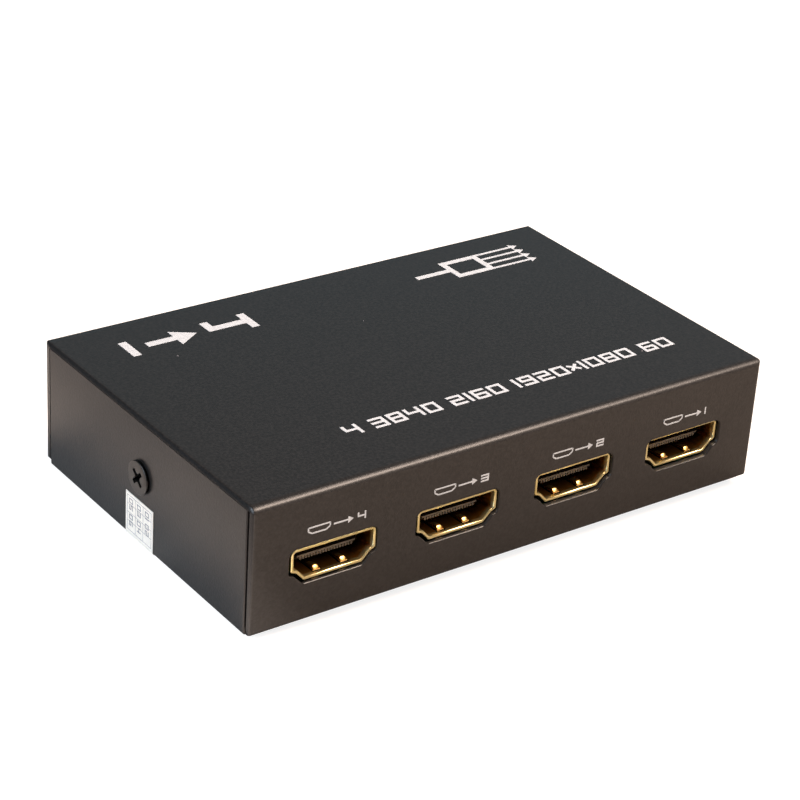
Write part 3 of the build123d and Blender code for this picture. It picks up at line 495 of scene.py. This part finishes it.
def socket_mark(number):
    """A socket's outline, an arrow and its number, in a row 10.4 mm long and 1.25 mm high."""
    outline = [(-4.9, 1.12), (-1.1, 1.12), (-1.1, 0.55), (-1.75, 0.12), (-4.25, 0.12), (-4.9, 0.55)]
    rim = [stroke(*outline[i], *outline[(i + 1) % 6], 0.24) for i in range(6)]
    return rim + arrow(-0.5, 3.0, 0.62, 0.26, 0.95) + digits(str(number), 3.7, 0.0, 1.25, 1.5, 0.27, 0.3)


# The mark over each socket on the flange.
mark_lift = 2.07 * MM
for i, socket in enumerate(sockets[:4]):
    low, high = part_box(socket + "_shell")
    place = face_place((low.x + high.x) / 2, front_y, high.z + mark_lift, RIGHT, UP)
    printed(socket + "_mark", socket_mark(4 - i), place)

# Inspection label.
# Uncoated white paper with a pressure-sensitive back, folded round the tray's lower bend.
# Fibrous and dry, with grey printing in a faint grid of plain numbers.
paper, tree, shader, coords = finish("white_label_paper", Roughness=0.8, IOR=1.45)
mottle(tree, shader, coords, 0.8, "#f3efe6", "#fdf9f0")
grain(tree, shader, coords, 0.15, 0.01, 0.5)
dress(paper, "inspection_label")
grey_ink, tree, shader, coords = finish("grey_label_ink", Roughness=0.6)
mottle(tree, shader, coords, 0.5, "#7c7c86", "#a4a4ac")
label_low, label_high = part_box("inspection_label")
label_place = face_place(label_low.x, (label_low.y + label_high.y) / 2, label_high.z, (0, 0, -1), (0, -1, 0))
# The grid's columns run down the wall and its rows run across it; two numbers stand in each column.
hairline = 0.06
marks = [stroke(0.5, x, 6.6, x, hairline) for x in (-3.6, -1.15, 1.15, 3.6)]
marks += [stroke(y, -3.6, y, 3.6, hairline) for y in (0.5, 2.0, 3.5, 5.0, 6.6)]
for column in range(3):
    numbers = "%02d %02d" % (column * 2 + 1, column * 2 + 2)
    marks += digits(numbers, 0.9, 1.75 - column * 2.4, 1.1, 0.85, 0.16, 0.3)
printed("label_numbers", marks, label_place, grey_ink)

# Feet.
# Die-cut rubber discs with an adhesive back, pressed on under the tray.
# Filled black rubber: very matt, slightly grey where it has picked up dust.
rubber, tree, shader, coords = finish("black_rubber_foot", Roughness=0.85, IOR=1.45)
mottle(tree, shader, coords, 2.0, "#181818", "#2a2a29")
grain(tree, shader, coords, 0.2, 0.02, 0.6)
dress(rubber, "foot_front_left", "foot_front_right", "foot_back_left", "foot_back_right")

# Power socket, slide switch and lamps on the back.
# Moulded socket and switch button, a tinned steel switch frame, and five tinted lamps in a moulded holder.
# Black mouldings are satin, tinned metal is grey and bright, and the lamps are cloudy tinted resin.
moulding, tree, shader, coords = finish("black_moulding", Roughness=0.42, IOR=1.5)
mottle(tree, shader, coords, 1.2, "#151515", "#222221")
grain(tree, shader, coords, 0.25, 0.01, 0.5)
dress(moulding, "power_socket_body", "switch_slider", "switch_base", "lamp_holder", "capacitor_bases")
tinned, tree, shader, coords = finish("tinned_metal", Metallic=1.0, Roughness=0.32)
mottle(tree, shader, coords, 0.9, "#b3b3b0", "#d4d4d1")
grain(tree, shader, coords, 0.2, 0.004, 0.5)
dress(tinned, "power_socket_pin", "power_socket_contacts", "switch_frame", "switch_pins", "lamp_leads",
      "main_chip_leads", "regulator_leads")
lens, tree, shader, coords = finish("tinted_lamp_resin", Roughness=0.2, IOR=1.52)
shader.inputs["Subsurface Weight"].default_value = 0.2
shader.inputs["Subsurface Scale"].default_value = 0.6 * MM
mottle(tree, shader, coords, 1.6, "#7e8f7c", "#a3b29d")
dress(lens, "status_lamps")
jack_low, jack_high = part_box("power_socket_body")
switch_low, switch_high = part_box("switch_frame")
lamps_low, lamps_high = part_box("status_lamps")
# Bars for direct current over the power socket, 1 and 0 over the switch, 0 to 4 over the lamps.
jack_lift, switch_lift, lamp_lift = -0.4 * MM, 1.2 * MM, 1.4 * MM
jack_mark = face_place((jack_low.x + jack_high.x) / 2, rear_y, jack_high.z + jack_lift, LEFT, UP)
marks = [stroke(-1.8, 0.9, 1.8, 0.9, 0.3)]
marks += [stroke(x - 0.35, 0.1, x + 0.35, 0.1, 0.3) for x in (-1.45, 0.0, 1.45)]
printed("direct_current_mark", marks, jack_mark)
switch_mark = face_place((switch_low.x + switch_high.x) / 2, rear_y, switch_high.z + switch_lift, LEFT, UP)
marks = digits("1", -3.3, 0, 1.6, 1.5, 0.3, 0.3) + digits("0", 2.2, 0, 1.6, 1.5, 0.3, 0.3)
printed("switch_marks", marks, switch_mark)
lamp_pitch, half_numeral = 5.0, 0.65
marks = []
for i in range(5):
    marks += digits(str(i), (i - 2) * lamp_pitch - half_numeral, 0, 1.4, 1.3, 0.26, 0.3)
lamp_row = face_place((lamps_low.x + lamps_high.x) / 2, rear_y, lamps_high.z + lamp_lift, LEFT, UP)
printed("lamp_marks", marks, lamp_row)
low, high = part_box("input_shell")
printed("input_mark", socket_mark(1), face_place((low.x + high.x) / 2, rear_y, high.z + mark_lift, LEFT, UP))

# Circuit board.
# Glass-epoxy laminate with copper tracks under a green solder mask, screwed to four turned steel posts.
# The mask is a glossy, very dark green lacquer, a little darker between the tracks.
board_mask, tree, shader, coords = finish("green_solder_mask", Roughness=0.3, IOR=1.5)
track_spacing = 9 * MM
wave = add(tree, "ShaderNodeTexWave", {"Scale": 1 / track_spacing, "Distortion": 6.0, "Detail": 2.0},
           {"Vector": (coords, "Object")})
ramp = add(tree, "ShaderNodeValToRGB", None, {"Fac": (wave, "Fac")})
ramp.color_ramp.elements[0].color = linear("#0c2417")
ramp.color_ramp.elements[1].color = linear("#133a25")
tree.links.new(ramp.outputs["Color"], shader.inputs["Base Color"])
grain(tree, shader, coords, 0.3, 0.01, 0.4)
dress(board_mask, "main_board")
steel, tree, shader, coords = finish("plain_turned_steel", Metallic=1.0, Roughness=0.35)
mottle(tree, shader, coords, 1.5, "#8c8c8a", "#b0b0ae")
grain(tree, shader, coords, 0.15, 0.005, 0.5)
dress(steel, "board_standoffs", "board_screws")

# Chips, heat sink and small parts on the board.
# Moulded epoxy chips, a black-anodised extruded sink on a soft pad, and drawn aluminium cans.
# Epoxy is dull black with a slight sparkle of filler; anodising is a dry metal grey-black; the cans are bright.
epoxy, tree, shader, coords = finish("moulded_epoxy_chip", Roughness=0.55, IOR=1.55)
mottle(tree, shader, coords, 0.4, "#1a1a1b", "#2b2b2c")
grain(tree, shader, coords, 0.1, 0.01, 0.5)
dress(epoxy, "main_chip", "regulators", "power_coils", "memory_chips", "guard_chips", "chip_resistors")
pad, tree, shader, coords = finish("grey_thermal_pad", Roughness=0.9)
mottle(tree, shader, coords, 1.0, "#7f868c", "#989fa4")
grain(tree, shader, coords, 0.3, 0.02, 0.5)
dress(pad, "thermal_pad")
anodised, tree, shader, coords = finish("black_anodised_sink", Metallic=0.6, Roughness=0.5)
mottle(tree, shader, coords, 1.5, "#232325", "#343437")
grain(tree, shader, coords, 0.2, 0.01, 0.4)
dress(anodised, "heat_sink")
can, tree, shader, coords = finish("drawn_aluminium_can", Metallic=1.0, Roughness=0.28)
mottle(tree, shader, coords, 2.0, "#b9bbbd", "#d2d4d6")
grain(tree, shader, coords, 0.2, 0.004, 0.4)
dress(can, "capacitor_cans", "clock_crystal")
fired, tree, shader, coords = finish("fired_ceramic_part", Roughness=0.6)
mottle(tree, shader, coords, 0.6, "#7d6546", "#9d8360")
dress(fired, "chip_capacitors", "fuse")

# Floor.
# A sheet of matt studio paper under the object, white to the camera, as the photograph's ground is.
# The dark coat mirrors the paper at a low angle, so the walls' tones come from the paper's tones, which are painted
# light and shade: warm white beside the left wall, painted falloff greyer far out and behind, greyer again under the
# front, and painted shade close to the object.
floor_half = 6
floor_mesh = bpy.data.meshes.new("floor")
floor_mesh.from_pydata([(-floor_half, -floor_half, 0), (floor_half, -floor_half, 0),
                        (floor_half, floor_half, 0), (-floor_half, floor_half, 0)], [], [(0, 1, 2, 3)])
floor = bpy.data.objects.new("floor", floor_mesh)
bpy.context.scene.collection.objects.link(floor)
pale = bpy.data.materials.new("pale_floor")
pale.use_nodes = True
tree = pale.node_tree
tree.nodes.clear()
coords = add(tree, "ShaderNodeTexCoord")
axes = add(tree, "ShaderNodeSeparateXYZ", None, {"Vector": (coords, "Object")})
# Painted light across the paper, from left to right, 80 to 35 mm left of the middle.
left = add(tree, "ShaderNodeMapRange", {"From Min": -0.08, "From Max": -0.035}, {"Value": (axes, "X")})
ramp = add(tree, "ShaderNodeValToRGB", None, {"Fac": (left, "Result")})
ramp.color_ramp.elements[0].color = linear("#8c8886")
ramp.color_ramp.elements[1].color = linear("#9c948c")
ramp.color_ramp.elements.new(0.56).color = linear("#fffaf5")
ramp.color_ramp.elements.new(0.66).color = linear("#fffaf5")
# The painted shade by the object's footprint fades over 26 mm in front and behind, and twenty times faster at the
# sides.
off = []
for axis, half, pace in (("X", 0.0485, 20.0), ("Y", 0.031, 1.0)):
    far = add(tree, "ShaderNodeMath", {"operation": "ABSOLUTE"}, {0: (axes, axis)})
    off.append(add(tree, "ShaderNodeMath", {"operation": "MULTIPLY_ADD", 1: pace, 2: -half * pace},
                   {0: (far, "Value")}))
away = add(tree, "ShaderNodeMath", {"operation": "MAXIMUM"}, {0: (off[0], "Value"), 1: (off[1], "Value")})
painted_footprint_shade = add(tree, "ShaderNodeMapRange", {"From Min": 0.0, "From Max": 0.026, "To Min": 0.6, "To Max": 1.0},
            {"Value": (away, "Value")})
# Left of the object the paper is also painted greyer towards the back, a painted falloff of light.
painted_falloff_behind = add(tree, "ShaderNodeMapRange", {"From Min": 0.015, "From Max": 0.055, "To Min": 1.0, "To Max": 0.6},
             {"Value": (axes, "Y")})
beside = add(tree, "ShaderNodeMapRange", {"From Min": -0.055, "From Max": -0.045}, {"Value": (axes, "X")})
kept = add(tree, "ShaderNodeMath", {"operation": "MAXIMUM"}, {0: (painted_falloff_behind, "Result"), 1: (beside, "Result")})
level = add(tree, "ShaderNodeMath", {"operation": "MULTIPLY"}, {0: (painted_footprint_shade, "Result"), 1: (kept, "Value")})
painted_paper_tone = add(tree, "ShaderNodeVectorMath", {"operation": "SCALE"}, {0: (ramp, "Color"), 3: (level, "Value")})
# The camera sees the paper brightened to white; everything else sees its painted tone, with its painted light and
# shade.
matt = add(tree, "ShaderNodeBsdfDiffuse", None, {"Color": (painted_paper_tone, "Vector")})
glow = add(tree, "ShaderNodeEmission", {"Color": (1, 1, 1, 1), "Strength": 0.85})
both = add(tree, "ShaderNodeAddShader", None, {0: (matt, "BSDF"), 1: (glow, "Emission")})
seen = add(tree, "ShaderNodeLightPath")
pick = add(tree, "ShaderNodeMixShader", None,
           {0: (seen, "Is Camera Ray"), 1: (matt, "BSDF"), 2: (both, "Shader")})
add(tree, "ShaderNodeOutputMaterial", None, {"Surface": (pick, "Shader")})
floor.data.materials.append(pale)

# Lights.
# A dim room and three soft boxes: one far left for the left wall, the key at the front right for the front and the
# light along its bend, and a weak one behind for the top.
world = bpy.data.worlds.new("studio")
bpy.context.scene.world = world
world.use_nodes = True
world.node_tree.nodes.clear()
sky = add(world.node_tree, "ShaderNodeBackground", {"Color": linear("#f4f9ff"), "Strength": 0.06})
add(world.node_tree, "ShaderNodeOutputWorld", None, {"Surface": (sky, "Background")})


def soft_light(name, place, width, height, power, colour):
    """A rectangular soft box that faces the object's middle."""
    aim = Vector((0, 0, 0.01))
    data = bpy.data.lights.new(name, "AREA")
    data.shape = "RECTANGLE"
    data.size = width
    data.size_y = height
    data.energy = power
    data.color = linear(colour)[:3]
    lamp = bpy.data.objects.new(name, data)
    lamp.location = place
    lamp.rotation_euler = (aim - Vector(place)).to_track_quat("-Z", "Y").to_euler()
    bpy.context.scene.collection.objects.link(lamp)


soft_light("left_box", (-1.25, 0.08, 0.62), 0.9, 0.75, 17.82, "#e7f2ff")
soft_light("key_box", (0.38, -0.42, 0.80), 0.5, 0.5, 23.4, "#ffe8d7")
soft_light("back_box", (0.62, 0.82, 0.45), 1.1, 0.8, 0.47, "#aee9ff")

# Camera.
# It stands where the photograph was taken from, in front and to the left, as solved from the housing's corners.
camera_place, camera_ahead = (-0.210401, -0.277223, 0.194568), (0.53592, 0.70745, -0.46076)
camera_roll = math.radians(3.746)
camera_data = bpy.data.cameras.new("camera")
camera_data.sensor_width = 36.0
camera_data.lens = 108.911
camera_data.clip_start = 0.01
camera = bpy.data.objects.new("camera", camera_data)
bpy.context.scene.collection.objects.link(camera)
bpy.context.scene.camera = camera
ahead = Vector(camera_ahead).normalized()
level = ahead.cross(Vector((0, 0, 1))).normalized()
above = level.cross(ahead)
across = level * math.cos(camera_roll) + above * math.sin(camera_roll)
upright = above * math.cos(camera_roll) - level * math.sin(camera_roll)
camera.matrix_world = Matrix.Translation(Vector(camera_place)) @ Matrix(
    (across, upright, -ahead)).transposed().to_4x4()

bpy.context.scene.view_settings.view_transform = "Standard"
